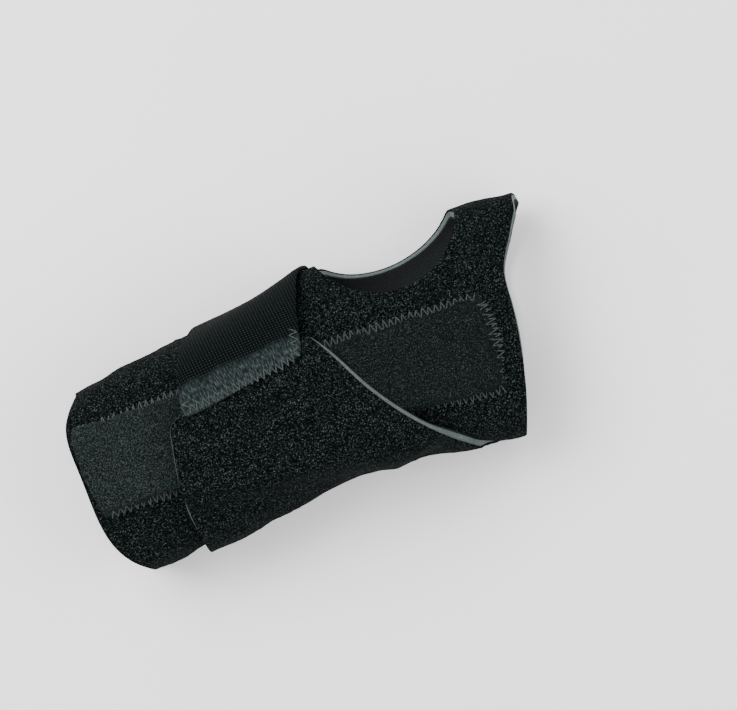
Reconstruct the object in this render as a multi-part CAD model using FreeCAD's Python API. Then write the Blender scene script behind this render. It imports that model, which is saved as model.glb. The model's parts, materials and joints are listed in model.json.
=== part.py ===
"""Wrist splint: a neoprene laminate wrap with a thumb hole, a palmar pocket holding a bent aluminium stay, and a
tapered closing flap that crosses the palmar side and ends in a webbing tab with a hook patch.

Frame: +X runs along the forearm towards the fingers, +Y towards the thumb, +Z out of the palm. The splint keeps the
shape it has when worn and rests on its dorsal side on the plane z = 0. Millimetres. Sizes below are stated from the
wrist, on the forearm's axis; export() moves the finished parts so that the origin lies under the forearm cuff.

Every cloth is a sheet that follows the worn limb. A place on the limb is a station x and an angle in the section at
that station: 0 degrees faces the thumb, 90 degrees faces out of the palm and 180 degrees faces the ulnar side.
"""

import FreeCAD, Part
import math
import os

Vector = FreeCAD.Vector

# ---- Laminate and webbing -------------------------------------------------------------------------------------
LINING = 0.5
FOAM = 2.2
FACE_CLOTH = 0.7
BOND = 0.05
SEWN_GAP = 0.15
PLY = LINING + FOAM + FACE_CLOTH + 2 * BOND
WEBBING = 1.3
HOOK = 0.8
POCKET_CLOTH = 0.8
THREAD_HEIGHT = 0.55
THREAD_ROW = 3.4
TUCK_LIFT = PLY + 0.6

# ---- The origin, seen from the wrist --------------------------------------------------------------------------
ORIGIN = Vector(-62.0, 0.0, 0.0)

# ---- Worn limb form -------------------------------------------------------------------------------------------
RADIAL_SIDE = 35.1
ULNAR_SIDE = -28.3
THENAR_BULGE, THENAR_X, THENAR_SPREAD = 3.2, 45.0, 26.0
WEB_TAPER, WEB_TAPER_X, WEB_TAPER_LENGTH = 10.0, 62.0, 45.0
ULNAR_FLARE, ULNAR_FLARE_X, ULNAR_FLARE_LENGTH = 23.0, 14.0, 66.0
STRAP_PINCH, STRAP_X, STRAP_SPREAD = 2.2, 0.0, 28.0
APEX_X = -20.0
APEX_HEIGHT = 48.5
ARCH_RADIUS = 500.0
REST_DIP = 0.35
WRIST_LIFT, WRIST_X, WRIST_SPREAD = 3.0, 12.0, 34.0
PALMAR_POWER = 2.4
DORSAL_POWER = 3.0

# ---- Stay and its pocket --------------------------------------------------------------------------------------
POCKET_SKEW = math.radians(10.5)
POCKET_MID_Y = -2.7
POCKET_HALF_WIDTH = 18.4
POCKET_END = 94.0
STAY_WIDTH = 25.4
STAY_THICKNESS = 1.5
STAY_PROXIMAL, STAY_DISTAL = -57.0, 87.0
STAY_CORNER = 9.0
STAY_FLOAT = 0.5
CAP_SKIN = 0.3
CAP_LENGTH = 9.0
SLIDE_ROOM = 0.2
POCKET_RISE, POCKET_RAMP = 13.9, 4.4
FLAP_RISE, FLAP_THUMB_RAMP, FLAP_ULNAR_RAMP = 14.5, 17.5, 10.0

# ---- Folds: straight lines the panels hinge about -------------------------------------------------------------
THUMB_FOLD = (Vector(-85, 37.5, 22.5), Vector(103, 33.0, 20.0))
ULNAR_FOLD = (Vector(-54, -33.0, 19.0), Vector(49, -42.0, 19.0))
TAB_FOLD = (Vector(-40, 24.15, 61.7), Vector(14, 23.5, 57.5))
THUMB_FOLD_GAP = 5.0
ULNAR_FOLD_GAP = 7.0

# ---- Panel edges ----------------------------------------------------------------------------------------------
PALMAR_TUCK = 5.6
DORSAL_EDGE = 9.0
LIFT_START, LIFT_LENGTH = 15.0, 7.0
THUMB_HOLE = Vector(54.5, 46.0, 0)
THUMB_HOLE_LENGTH = 29.0
THUMB_HOLE_PALMAR_DEPTH = 30.0
THUMB_HOLE_DORSAL_DEPTH = 20.0
TAB_START_Y = 10.2
TAB_FREE_Y = 19.6
TAB_PROXIMAL, TAB_DISTAL = -40.0, 7.0
TAB_SHIFT = 19.0
TAB_END_Y = 29.5
TAB_HOOK_LENGTH = 0.36
TAB_DROP_ANGLE = math.radians(36)

PROXIMAL_EDGE = [(-62, 50), (-66.5, 42), (-71, 37.8), (-79, 29.5), (-82.5, 12.5), (-84.6, -6), (-84, -17),
                 (-80.5, -25.5), (-74.5, -32.5), (-66, -39), (-60, -50)]
DISTAL_EDGE = [(58, -72), (65.6, -51.5), (71, -39.8), (77.5, -22.8), (82.8, -5.3), (86.3, 6.5), (91.5, 13),
               (98.5, 21.5), (103, 27), (108, 36), (112, 50)]
FLAP_PROXIMAL_EDGE = [(-54, -60), (-54.8, -26), (-53.6, -16), (-50.8, -3.6), (-46.5, 9), (-43.5, 18.6)]
FLAP_DISTAL_EDGE = [(11.9, 18.6), (16.3, 8), (21.5, -7), (29, -22.5), (37.5, -35.5), (45, -44.5), (52, -52), (58, -60)]


def smooth(t):
    """0 before t = 0, 1 after t = 1, and an S-shaped rise between."""
    t = max(0.0, min(1.0, t))
    return t * t * (3 - 2 * t)


def bump(x, middle, spread):
    return math.exp(-(((x - middle) / spread) ** 2))


# ---- Limb form ------------------------------------------------------------------------------------------------
def radial_border(x):
    web = WEB_TAPER * smooth((x - WEB_TAPER_X) / WEB_TAPER_LENGTH)
    pinch = STRAP_PINCH * bump(x, STRAP_X, STRAP_SPREAD)
    return RADIAL_SIDE + THENAR_BULGE * bump(x, THENAR_X, THENAR_SPREAD) - web - pinch


def ulnar_border(x):
    return ULNAR_SIDE - ULNAR_FLARE * smooth((x - ULNAR_FLARE_X) / ULNAR_FLARE_LENGTH)


def pocket_line(x):
    """y of the pocket's centre line."""
    return POCKET_MID_Y - math.tan(POCKET_SKEW) * x


def arch_height(x, y, radius_step=0.0):
    """Height of the bent stay's cylinder, which leans with the pocket, over a plan point."""
    along = (x - APEX_X) * math.cos(POCKET_SKEW) - (y - pocket_line(APEX_X)) * math.sin(POCKET_SKEW)
    radius = ARCH_RADIUS + radius_step
    return APEX_HEIGHT - ARCH_RADIUS + math.sqrt(radius * radius - along * along)


def dorsal_height(x):
    return PLY - REST_DIP + WRIST_LIFT * bump(x, WRIST_X, WRIST_SPREAD)


def skin(x, angle):
    """The worn skin: each section is a superellipse whose crest follows the pocket's centre line."""
    middle_y = pocket_line(x)
    top = arch_height(x, middle_y)
    bottom = dorsal_height(x)
    middle_z, half_height = (top + bottom) / 2, (top - bottom) / 2
    c, s = math.cos(angle), math.sin(angle)
    half_width = radial_border(x) - middle_y if c > 0 else middle_y - ulnar_border(x)
    power = PALMAR_POWER if s > 0 else DORSAL_POWER
    reach = ((abs(c) / half_width) ** power + (abs(s) / half_height) ** power) ** (-1 / power)
    return Vector(x, middle_y + reach * c, middle_z + reach * s)


def limb(x, angle, distance):
    """The point this far out from the skin."""
    step_x, step_angle = 0.2, 0.004
    along = skin(x + step_x, angle) - skin(x - step_x, angle)
    around = skin(x, angle + step_angle) - skin(x, angle - step_angle)
    return skin(x, angle) + around.cross(along).normalize() * distance


def dorsal_edge_height(x):
    """Height of the dorsal panel's ulnar edge, which stands a little higher where the flap leaves from it."""
    flap_zone = smooth((x + 62) / 8) * smooth((60 - x) / 8)
    return min(dorsal_height(x) + DORSAL_EDGE, ULNAR_FOLD[0].z - 5.0) + 1.5 * flap_zone - 0.5


def solve(function, low, high):
    """Bisection for the place where a rising function passes zero."""
    for _ in range(40):
        middle = (low + high) / 2
        if function(middle) > 0:
            high = middle
        else:
            low = middle
    return (low + high) / 2


def thumb_side_angle(x, z):
    return solve(lambda a: skin(x, a).z - z, -1.4, 1.4)


def ulnar_side_angle(x, z):
    return solve(lambda a: z - skin(x, a).z, math.pi - 1.4, math.pi + 1.4)


def palm_angle(x, y):
    return solve(lambda a: y - skin(x, a).y, 0.0, math.pi)


def back_angle(x, y):
    return solve(lambda a: skin(x, a).y - y, -math.pi / 2, 0.0)


def on_line(line, x):
    start, end = line
    return start + (end - start) * ((x - start.x) / (end.x - start.x))


def from_pocket_line(point):
    """Distance across the pocket from its centre line, in plan."""
    return abs((point.y - pocket_line(point.x)) * math.cos(POCKET_SKEW))


def under_arch(point):
    """How far the skin lies below the stay's flat cross-section at this point."""
    return max(0.0, arch_height(point.x, point.y) - point.z)


# ---- Distances of the surfaces from the skin ------------------------------------------------------------------
STAY_STACK = STAY_FLOAT + STAY_THICKNESS + CAP_SKIN + SLIDE_ROOM


# A rise says how far across the stay the cloth stays lifted, and a ramp over what width it comes down.
def constant(distance):
    return lambda x, angle: distance


def pocket_inside(x, angle):
    point = skin(x, angle)
    window = 1 - smooth((from_pocket_line(point) - POCKET_RISE) / POCKET_RAMP)
    return PLY + BOND + window * (STAY_STACK + under_arch(point))


def pocket_outside(x, angle):
    return pocket_inside(x, angle) + POCKET_CLOTH


def flap_inside(x, angle):
    point = skin(x, angle)
    ramp = FLAP_THUMB_RAMP if point.y > pocket_line(x) else FLAP_ULNAR_RAMP
    window = 1 - smooth((from_pocket_line(point) - FLAP_RISE) / ramp)
    over_pocket = STAY_STACK + POCKET_CLOTH + THREAD_HEIGHT + 4 * BOND
    return PLY + 4 * BOND + window * (over_pocket + under_arch(point))


def flap_outside(x, angle):
    return flap_inside(x, angle) + PLY


def sewn_tab_inside(x, angle):
    return flap_outside(x, angle) + SEWN_GAP


def free_tab_inside(x, angle):
    """The tab comes down from the end of the flap to just over its hook patch."""
    start = palm_angle(x, TAB_FREE_Y)
    top = sewn_tab_inside(x, start)
    settled = PLY + 4 * BOND + HOOK + BOND
    return settled + (top - settled) * (1 - smooth((start - angle) / TAB_DROP_ANGLE))


def dorsal_inside(x, angle):
    """The dorsal panel lies on the skin, and rises over the palmar panel's tucked ulnar edge."""
    point = skin(x, angle)
    return TUCK_LIFT * smooth((ulnar_border(x) + LIFT_START - point.y) / LIFT_LENGTH)


def above(inside, distance):
    return lambda x, angle: inside(x, angle) + distance


# ---- Solids ---------------------------------------------------------------------------------------------------
def sheet(place, low, high, steps_u, steps_v):
    """A closed solid between two distances from the skin. place(u, v) gives the station and angle for u, v in 0..1."""
    spots = [[place(i / steps_u, j / steps_v) for j in range(steps_v + 1)] for i in range(steps_u + 1)]
    faces = []
    rims = []
    for distance in (low, high):
        surface = Part.BSplineSurface()
        surface.interpolate([[limb(x, a, distance(x, a)) for x, a in row] for row in spots])
        faces.append(surface.toShape())
        u0, u1, v0, v1 = surface.bounds()
        rims.append([surface.uIso(u0), surface.uIso(u1), surface.vIso(v0), surface.vIso(v1)])
    for inner, outer in zip(*rims):
        faces.append(Part.makeRuledSurface(inner.toShape(), outer.toShape(), 1))
    shell = Part.makeShell(faces)
    shell.sewShape()
    solid = Part.makeSolid(shell)
    if solid.Volume < 0:
        solid.reverse()
    return solid


def spline(points):
    curve = Part.BSplineCurve()
    curve.interpolate([Vector(x, y, 0) for x, y in points])
    return curve.toShape()


def column(outline, low=-20.0, high=90.0):
    """Everything over and under a closed plan outline."""
    face = Part.Face(Part.Wire(Part.__sortEdges__(outline)))
    face.translate(Vector(0, 0, low))
    return face.extrude(Vector(0, 0, high - low))


def joined(first, second):
    """Two plan edges closed into an outline by straight lines between their ends."""
    a, b = [Vector(*p, 0) for p in (first[0], first[-1])]
    c, d = [Vector(*p, 0) for p in (second[0], second[-1])]
    return [spline(first), spline(second), Part.makeLine(b, c), Part.makeLine(d, a)]


def pocket_frame(shape):
    """Moves a shape made about the apex, with its length along X, onto the skewed pocket line."""
    shape.rotate(Vector(0, 0, 0), Vector(0, 0, 1), -math.degrees(POCKET_SKEW))
    shape.translate(Vector(APEX_X, pocket_line(APEX_X), 0))
    return shape


def rounded_bar(start, end, half_width, corner_start, corner_end):
    """Plan outline of a bar along X with its own corner radius at each end."""
    corners = [(start, -half_width, corner_start, 180), (end, -half_width, corner_end, 270),
               (end, half_width, corner_end, 0), (start, half_width, corner_start, 90)]
    edges, ends = [], []
    for x, y, r, turn in corners:
        centre = Vector(x + r if x == start else x - r, y + r if y < 0 else y - r, 0)
        arc = Part.makeCircle(r, centre, Vector(0, 0, 1), turn, turn + 90)
        edges.append(arc)
        ends.append((arc.Vertexes[0].Point, arc.Vertexes[-1].Point))
    for i in range(4):
        a, b = ends[i][1], ends[(i + 1) % 4][0]
        if (a - b).Length > 1e-6:
            edges.append(Part.makeLine(a, b))
    return edges


def arch_plate(start, end, half_width, low, high, corner):
    """A flat bar bent along the arch, between two distances outside the skin's arch radius."""
    block = []
    for step in (high, low):
        cylinder = Part.makeCylinder(ARCH_RADIUS + step, 4 * half_width, Vector(0, -2 * half_width, 0), Vector(0, 1, 0))
        cylinder.translate(Vector(0, 0, APEX_HEIGHT - ARCH_RADIUS))
        block.append(cylinder)
    bar = column(rounded_bar(start, end, half_width, corner, corner), 0.0, 80.0)
    return pocket_frame(bar.common(block[0]).cut(block[1]))


def thumb_hole():
    """The thumb's opening: an ellipse in plan, deeper on the palmar side than on the dorsal side."""
    split = on_line(THUMB_FOLD, THUMB_HOLE.x).z
    cutters = []
    for depth, low, high in ((THUMB_HOLE_PALMAR_DEPTH, split, 90.0), (THUMB_HOLE_DORSAL_DEPTH, -20.0, split)):
        long_axis, short_axis = max(depth, THUMB_HOLE_LENGTH), min(depth, THUMB_HOLE_LENGTH)
        ellipse = Part.Ellipse(Vector(0, 0, 0), long_axis, short_axis).toShape()
        if depth > THUMB_HOLE_LENGTH:
            ellipse.rotate(Vector(0, 0, 0), Vector(0, 0, 1), 90)
        ellipse.translate(THUMB_HOLE)
        cutters.append(column([ellipse], low, high))
    return cutters[0].fuse(cutters[1])


# ---- Panels ---------------------------------------------------------------------------------------------------
STATIONS = (-92.0, 112.0)


def palmar_place(u, v):
    x = STATIONS[0] + u * (STATIONS[1] - STATIONS[0])
    start = thumb_side_angle(x, on_line(THUMB_FOLD, x).z + THUMB_FOLD_GAP)
    end = ulnar_side_angle(x, dorsal_height(x) + PALMAR_TUCK)
    return x, start + v * (end - start)


def dorsal_place(u, v):
    x = STATIONS[0] + u * (STATIONS[1] - STATIONS[0])
    start = thumb_side_angle(x, on_line(THUMB_FOLD, x).z - THUMB_FOLD_GAP)
    end = ulnar_side_angle(x, dorsal_edge_height(x)) - 2 * math.pi
    return x, start + v * (end - start)


def flap_place(u, v):
    x = -62.0 + u * 122.0
    start = palm_angle(x, TAB_FREE_Y + 6)
    end = ulnar_side_angle(x, on_line(ULNAR_FOLD, x).z + ULNAR_FOLD_GAP)
    return x, start + v * (end - start)


def tab_x(u, v):
    """The tab runs obliquely: it shifts towards the fingers as it goes round the thumb side."""
    narrowing = 2.5 * v * (0.5 - u)
    return TAB_PROXIMAL + u * (TAB_DISTAL - TAB_PROXIMAL) + TAB_SHIFT * math.sin(v * math.pi / 2) + narrowing


def sewn_tab_place(u, v):
    x = TAB_PROXIMAL + u * (TAB_DISTAL - TAB_PROXIMAL) + v * 3.4
    return x, palm_angle(x, TAB_START_Y + v * (TAB_FREE_Y - 0.6 - TAB_START_Y))


def free_tab_place(u, v):
    x = tab_x(u, v) + 3.4 * (1 - v)
    start = palm_angle(x, TAB_FREE_Y)
    return x, start + v * (back_angle(x, TAB_END_Y) - start)


def hook_place(u, v):
    return free_tab_place(0.03 + 0.94 * u, 1 - TAB_HOOK_LENGTH * (1 - v) - 0.02 * v)


def hook_middle_place(u, v):
    edge_u, edge_v = 0.09, 0.13
    return hook_place(edge_u + (1 - 2 * edge_u) * u, edge_v + (1 - 2 * edge_v) * v)


def thread_row(place, surface, steps):
    """A raised band of stitching on a cloth's outer surface."""
    return sheet(place, above(surface, SEWN_GAP), above(surface, THREAD_HEIGHT), *steps)


def plies(name, place, inside, steps, shape_to):
    """The three bonded plies of one panel: jersey lining, neoprene foam and loop face cloth."""
    distance = 0.0
    for ply, thickness in (("lining", LINING), ("foam", FOAM), ("face_cloth", FACE_CLOTH)):
        solid = sheet(place, above(inside, distance), above(inside, distance + thickness), *steps)
        export(shape_to(solid), f"{name}_{ply}")
        distance += thickness + BOND


def export(shape, name):
    solids = [s for s in shape.Solids if s.Volume > 0.5]
    shape = solids[0] if len(solids) == 1 else Part.makeCompound(solids)
    assert solids and shape.isValid(), name
    shape.translate(-ORIGIN)
    shape.exportStep(os.path.join("parts", name + ".step"))
    box = shape.optimalBoundingBox(False)
    print(f"{name:22s} {len(solids)} solid {shape.Volume:9.1f} mm3  "
          f"x {box.XMin:.1f}..{box.XMax:.1f} y {box.YMin:.1f}..{box.YMax:.1f} z {box.ZMin:.2f}..{box.ZMax:.2f}")


def main():
    os.makedirs("parts", exist_ok=True)
    body = column(joined(PROXIMAL_EDGE, DISTAL_EDGE))
    hole = thumb_hole()
    table = Part.makeBox(300, 300, 20, Vector(-150, -150, -20))

    # The aluminium stay, its dipped end caps, and the room they slide in.
    half = STAY_WIDTH / 2
    stay_low = PLY + STAY_FLOAT
    stay_high = stay_low + STAY_THICKNESS
    stay = arch_plate(STAY_PROXIMAL, STAY_DISTAL, half, stay_low, stay_high, STAY_CORNER)
    export(stay, "palmar_stay")
    dipped = arch_plate(STAY_PROXIMAL - CAP_SKIN, STAY_DISTAL + CAP_SKIN, half + CAP_SKIN,
                        stay_low - CAP_SKIN, stay_high + CAP_SKIN, STAY_CORNER + CAP_SKIN)
    middle = pocket_frame(Part.makeBox(STAY_DISTAL - STAY_PROXIMAL - 2 * CAP_LENGTH, 80, 200,
                                       Vector(STAY_PROXIMAL + CAP_LENGTH, -40, -60)))
    export(dipped.cut(middle).cut(stay), "stay_end_caps")
    room = CAP_SKIN + SLIDE_ROOM
    channel = arch_plate(STAY_PROXIMAL - 60, STAY_DISTAL + 2, half + room + 0.3,
                         stay_low - room, stay_high + room, STAY_CORNER)

    # The palmar panel with its thumb hole, and the dorsal panel that the splint rests on.
    plies("palmar", palmar_place, constant(0.0), (40, 50), lambda s: s.common(body).cut(hole))
    plies("dorsal", dorsal_place, dorsal_inside, (50, 70), lambda s: s.common(body).cut(hole).cut(table))

    # The stay pocket: open at the forearm end and sewn round its other three sides.
    pocket_plan = column(pocket_frame_edges(rounded_bar(-90, POCKET_END, POCKET_HALF_WIDTH, 1, 4)))
    pocket = sheet(pocket_place, pocket_inside, pocket_outside, 40, 30)
    inset_body = column(joined([(x + 1.2, y) for x, y in PROXIMAL_EDGE], DISTAL_EDGE))
    export(pocket.common(pocket_plan).common(inset_body).cut(channel), "stay_pocket")
    row = pocket_frame_edges(rounded_bar(-89, POCKET_END - 1, POCKET_HALF_WIDTH - 1, 1, 3))
    inner = pocket_frame_edges(rounded_bar(-95, POCKET_END - 1 - THREAD_ROW, POCKET_HALF_WIDTH - 1 - THREAD_ROW, 1, 1))
    thread = thread_row(pocket_place, pocket_outside, (40, 30))
    export(thread.common(column(row)).cut(column(inner)).common(inset_body), "pocket_seam_thread")

    # The closing flap.
    flap_plan = column(joined(FLAP_PROXIMAL_EDGE, FLAP_DISTAL_EDGE))
    plies("flap", flap_place, flap_inside, (56, 60), lambda s: s.common(flap_plan))
    export(thread_row(flap_seam_place, above(dorsal_inside, PLY), (24, 3)), "flap_seam_thread")

    # The webbing tab, its sewn end, its hook patch and the thread rows.
    export(sheet(sewn_tab_place, sewn_tab_inside, above(sewn_tab_inside, WEBBING), 30, 8), "tab_sewn_end")
    export(thread_row(tab_thread_place, above(sewn_tab_inside, WEBBING), (30, 3)), "tab_seam_thread")
    export(sheet(free_tab_place, free_tab_inside, above(free_tab_inside, WEBBING), 24, 44), "strap_tab")
    export(sheet(hook_place, constant(PLY + 3 * BOND), constant(PLY + 3 * BOND + HOOK), 14, 14), "tab_hook_patch")
    hook_top = above(free_tab_inside, WEBBING)
    rows = thread_row(hook_place, hook_top, (14, 14))
    inside_rows = sheet(hook_middle_place, above(hook_top, -1), above(hook_top, 2), 14, 14)
    export(rows.cut(inside_rows), "hook_seam_thread")


def pocket_frame_edges(edges):
    return [pocket_frame(edge) for edge in edges]


def pocket_place(u, v):
    x = -90.0 + u * 172.0
    across = (POCKET_HALF_WIDTH + 2.5) / math.cos(POCKET_SKEW)
    start = palm_angle(x, pocket_line(x) + across)
    end = palm_angle(x, pocket_line(x) - across)
    return x, start + v * (end - start)


def flap_seam_place(u, v):
    x = -50.0 + u * 96.0
    top = ulnar_side_angle(x, dorsal_edge_height(x) - 1.2)
    bottom = ulnar_side_angle(x, dorsal_edge_height(x) - 1.2 - 0.75 * THREAD_ROW)
    return x, bottom + v * (top - bottom)


def tab_thread_place(u, v):
    x = TAB_PROXIMAL + 1.2 + u * (TAB_DISTAL - TAB_PROXIMAL - 2.4) + v * 1.2
    return x, palm_angle(x, TAB_START_Y + 0.8 + v * THREAD_ROW)


main()
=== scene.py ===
"""Looks for the wrist splint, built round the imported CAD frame. Metres, in the row's frame.

The CAD's soft solids are read as surfaces: rays towards a centre line between the two fold axes give the
distance of a cloth's outer face at each station x and angle (0 faces the thumb, 90 degrees out of the palm,
180 the ulnar side). Each visible cloth is cut as a flat outline in a (station, arc) plan and made thick on
its surface. The three big panels are first settled by a cloth simulation.
"""

import json
import math

import bmesh
import bpy
import numpy as np
from mathutils import Vector, geometry, kdtree
from mathutils.bvhtree import BVHTree
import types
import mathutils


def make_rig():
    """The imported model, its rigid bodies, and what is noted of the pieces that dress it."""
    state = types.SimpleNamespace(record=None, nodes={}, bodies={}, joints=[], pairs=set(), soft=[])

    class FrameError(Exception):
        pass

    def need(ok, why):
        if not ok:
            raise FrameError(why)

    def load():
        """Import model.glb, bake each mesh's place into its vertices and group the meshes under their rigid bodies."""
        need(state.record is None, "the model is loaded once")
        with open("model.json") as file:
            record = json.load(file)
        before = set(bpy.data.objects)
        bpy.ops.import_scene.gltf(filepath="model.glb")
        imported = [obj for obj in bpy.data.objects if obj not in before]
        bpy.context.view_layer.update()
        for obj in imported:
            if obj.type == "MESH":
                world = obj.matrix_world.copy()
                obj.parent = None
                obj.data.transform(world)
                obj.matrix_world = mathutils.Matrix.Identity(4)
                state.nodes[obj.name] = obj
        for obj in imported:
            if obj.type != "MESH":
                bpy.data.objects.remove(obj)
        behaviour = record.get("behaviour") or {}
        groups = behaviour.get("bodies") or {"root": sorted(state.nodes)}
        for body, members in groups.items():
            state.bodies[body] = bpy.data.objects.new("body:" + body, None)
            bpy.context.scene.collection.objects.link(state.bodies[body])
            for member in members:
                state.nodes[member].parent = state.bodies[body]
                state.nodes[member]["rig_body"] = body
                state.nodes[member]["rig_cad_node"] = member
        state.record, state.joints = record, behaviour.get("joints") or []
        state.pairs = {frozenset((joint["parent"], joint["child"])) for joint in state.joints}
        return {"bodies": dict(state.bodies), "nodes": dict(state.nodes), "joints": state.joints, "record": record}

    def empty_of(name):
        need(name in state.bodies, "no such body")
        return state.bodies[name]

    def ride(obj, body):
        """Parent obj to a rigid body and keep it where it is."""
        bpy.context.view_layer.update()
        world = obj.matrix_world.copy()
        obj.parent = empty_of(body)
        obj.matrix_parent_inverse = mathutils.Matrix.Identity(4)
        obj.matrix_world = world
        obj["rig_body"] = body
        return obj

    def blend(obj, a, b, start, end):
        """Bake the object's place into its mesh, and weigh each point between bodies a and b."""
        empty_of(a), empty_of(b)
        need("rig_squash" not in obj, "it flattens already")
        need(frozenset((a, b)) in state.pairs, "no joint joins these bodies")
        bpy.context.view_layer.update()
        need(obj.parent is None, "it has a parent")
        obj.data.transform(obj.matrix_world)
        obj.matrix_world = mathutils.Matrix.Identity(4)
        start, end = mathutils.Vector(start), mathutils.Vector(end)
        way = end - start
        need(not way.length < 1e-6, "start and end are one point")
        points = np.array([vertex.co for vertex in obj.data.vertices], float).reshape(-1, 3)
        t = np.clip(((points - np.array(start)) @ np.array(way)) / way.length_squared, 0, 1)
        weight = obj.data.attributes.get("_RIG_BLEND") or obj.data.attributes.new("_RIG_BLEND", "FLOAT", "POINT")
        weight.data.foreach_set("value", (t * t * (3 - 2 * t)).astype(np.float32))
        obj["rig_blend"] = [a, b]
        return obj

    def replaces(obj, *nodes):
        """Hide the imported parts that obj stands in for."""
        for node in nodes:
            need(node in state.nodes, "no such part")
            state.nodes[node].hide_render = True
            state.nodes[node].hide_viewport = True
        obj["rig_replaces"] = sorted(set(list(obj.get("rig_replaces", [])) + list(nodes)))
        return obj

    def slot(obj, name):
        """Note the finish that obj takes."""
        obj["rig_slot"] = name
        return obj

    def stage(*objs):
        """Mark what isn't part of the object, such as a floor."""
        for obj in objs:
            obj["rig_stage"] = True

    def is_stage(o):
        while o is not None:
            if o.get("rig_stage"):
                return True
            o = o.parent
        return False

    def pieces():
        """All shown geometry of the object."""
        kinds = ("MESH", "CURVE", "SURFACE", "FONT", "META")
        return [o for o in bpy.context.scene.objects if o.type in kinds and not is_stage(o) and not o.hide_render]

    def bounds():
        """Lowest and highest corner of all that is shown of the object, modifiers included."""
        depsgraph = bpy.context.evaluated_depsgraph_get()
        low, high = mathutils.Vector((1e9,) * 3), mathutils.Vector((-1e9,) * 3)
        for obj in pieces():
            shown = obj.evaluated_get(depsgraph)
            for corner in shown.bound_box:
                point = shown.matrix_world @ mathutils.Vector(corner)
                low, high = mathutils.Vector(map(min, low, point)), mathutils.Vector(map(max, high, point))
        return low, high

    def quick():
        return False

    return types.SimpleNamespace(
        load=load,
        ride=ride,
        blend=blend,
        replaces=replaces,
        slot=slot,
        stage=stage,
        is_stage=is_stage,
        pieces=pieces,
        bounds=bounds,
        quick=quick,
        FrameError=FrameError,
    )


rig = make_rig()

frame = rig.load()
cad_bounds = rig.bounds()

MM = 0.001

# The laminate's three plies, the strap, the pocket cloth and the hook patch.
FACE, FOAM, LINING = 0.75 * MM, 2.15 * MM, 0.55 * MM
PLY = FACE + FOAM + LINING
PLY_GAP = 0.02 * MM
WEBBING, POCKET, HOOK_TAPE = 1.3 * MM, 0.8 * MM, 0.5 * MM
HOOK_WIRE = 0.11 * MM

# The plan's arc radius, the reading rays' reach, and the step of a search for an edge.
ROUND = 36 * MM
RAY_LENGTH = 120 * MM
SCAN_STEP = 1.5 * MM

# Point spacing of outlines, and triangle sizes of finished and simulated cloths.
OUTLINE_STEP = 1.0 * MM
FINE, COARSE = 2.0 * MM, 4.5 * MM

# Cut edges: the row just inside a rim, how far its corners are eased, and its flare per depth.
RIM_ROW, EDGE_EASE, EDGE_SPREAD = 0.35 * MM, 0.25 * MM, 0.08

# The seam where the wrap and back sheets meet, and the angles where the CAD leaves a fold open.
BACK_SEAM = math.radians(-42)
FOLD_GAP = np.radians((-12, 17))
TAB_FOLD_GAP = np.radians((49, 64))

# Frames of cloth simulation.
SETTLE_FRAMES = 20

# Stitches, and the brushed band at the strap's sewn end, whose paler colour is a painted sheen.
THREAD = 0.24 * MM
ZIGZAG_WIDTH, ZIGZAG_PITCH = 3.6 * MM, 1.2 * MM
STITCH, STITCH_GAP = 2.7 * MM, 0.55 * MM
SHEEN_BAND, SHEEN_BAND_BLEND = 9.5 * MM, 3.0 * MM

# How the pocket is drawn down along its sewn sides, and the length of its open mouth.
SEWN_WIDTH, SLOPE_WIDTH, SEWN_RISE = 1.0 * MM, 4.0 * MM, 0.35 * MM
MOUTH_LENGTH = 14 * MM

# Bending zones of the three folds.
PALMAR_BEND, FLAP_BEND, TAB_BEND = 9.3 * MM, 11.0 * MM, 6.0 * MM
PALMAR_LEAN = math.radians(22)

# The camera looks straight down on the palm side.
VIEW_WIDTH = 265.3 * MM
VIEW_MIDDLE = (90.5 * MM, 1.1 * MM, 35 * MM)
ARM_TILT = math.radians(28)
LENS, SENSOR = 200.0, 36.0

joints = {j["name"]: j for j in frame["joints"]}
low_corner, high_corner = (np.array(c) for c in cad_bounds)


# ---- Reading the frame ---------------------------------------------------------------------------------
def on_axis(joint, x):
    """Where a joint's axis passes each station."""
    point, axis = (np.array(joints[joint][k], float) for k in ("pos_m", "axis"))
    return point + np.outer((np.atleast_1d(x) - point[0]) / axis[0], axis)


def centre(x):
    """The line the cloths wrap round, midway between the two fold axes."""
    return (on_axis("palmar_open", x) + on_axis("flap_unwrap", x)) / 2


def radial(angle):
    """Unit vectors across the splint at these angles."""
    angle = np.atleast_1d(angle)
    return np.stack([np.zeros_like(angle), np.cos(angle), np.sin(angle)], -1)


depsgraph = bpy.context.evaluated_depsgraph_get()
trees = {name: BVHTree.FromObject(node, depsgraph) for name, node in frame["nodes"].items()}


def ray(name, x, angle):
    """Distance from the centre line to a node's outermost face, or None where the ray misses it."""
    out = radial(angle)[0]
    start = centre(x)[0] + out * RAY_LENGTH
    hit = trees[name].ray_cast(Vector(start), Vector(-out), RAY_LENGTH)
    return None if hit[0] is None else RAY_LENGTH - hit[3]


def fill(table):
    """Fills a table's empty cells: spreads the known values, then relaxes them to a smooth membrane."""
    known = ~np.isnan(table)
    value = np.where(known, table, 0.0)
    weight = known.astype(float)

    def neighbours(grid):
        padded = np.pad(grid, 1, mode="edge")
        return padded[2:, 1:-1] + padded[:-2, 1:-1] + padded[1:-1, 2:] + padded[1:-1, :-2]

    while (weight == 0).any():
        near = neighbours(weight)
        spread = neighbours(value * weight) / np.maximum(near, 1e-9)
        fresh = (weight == 0) & (near > 0)
        value[fresh] = spread[fresh]
        weight[fresh] = 1.0
    for _ in range(500):
        value = np.where(known, value, neighbours(value) / 4)
    return value


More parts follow.
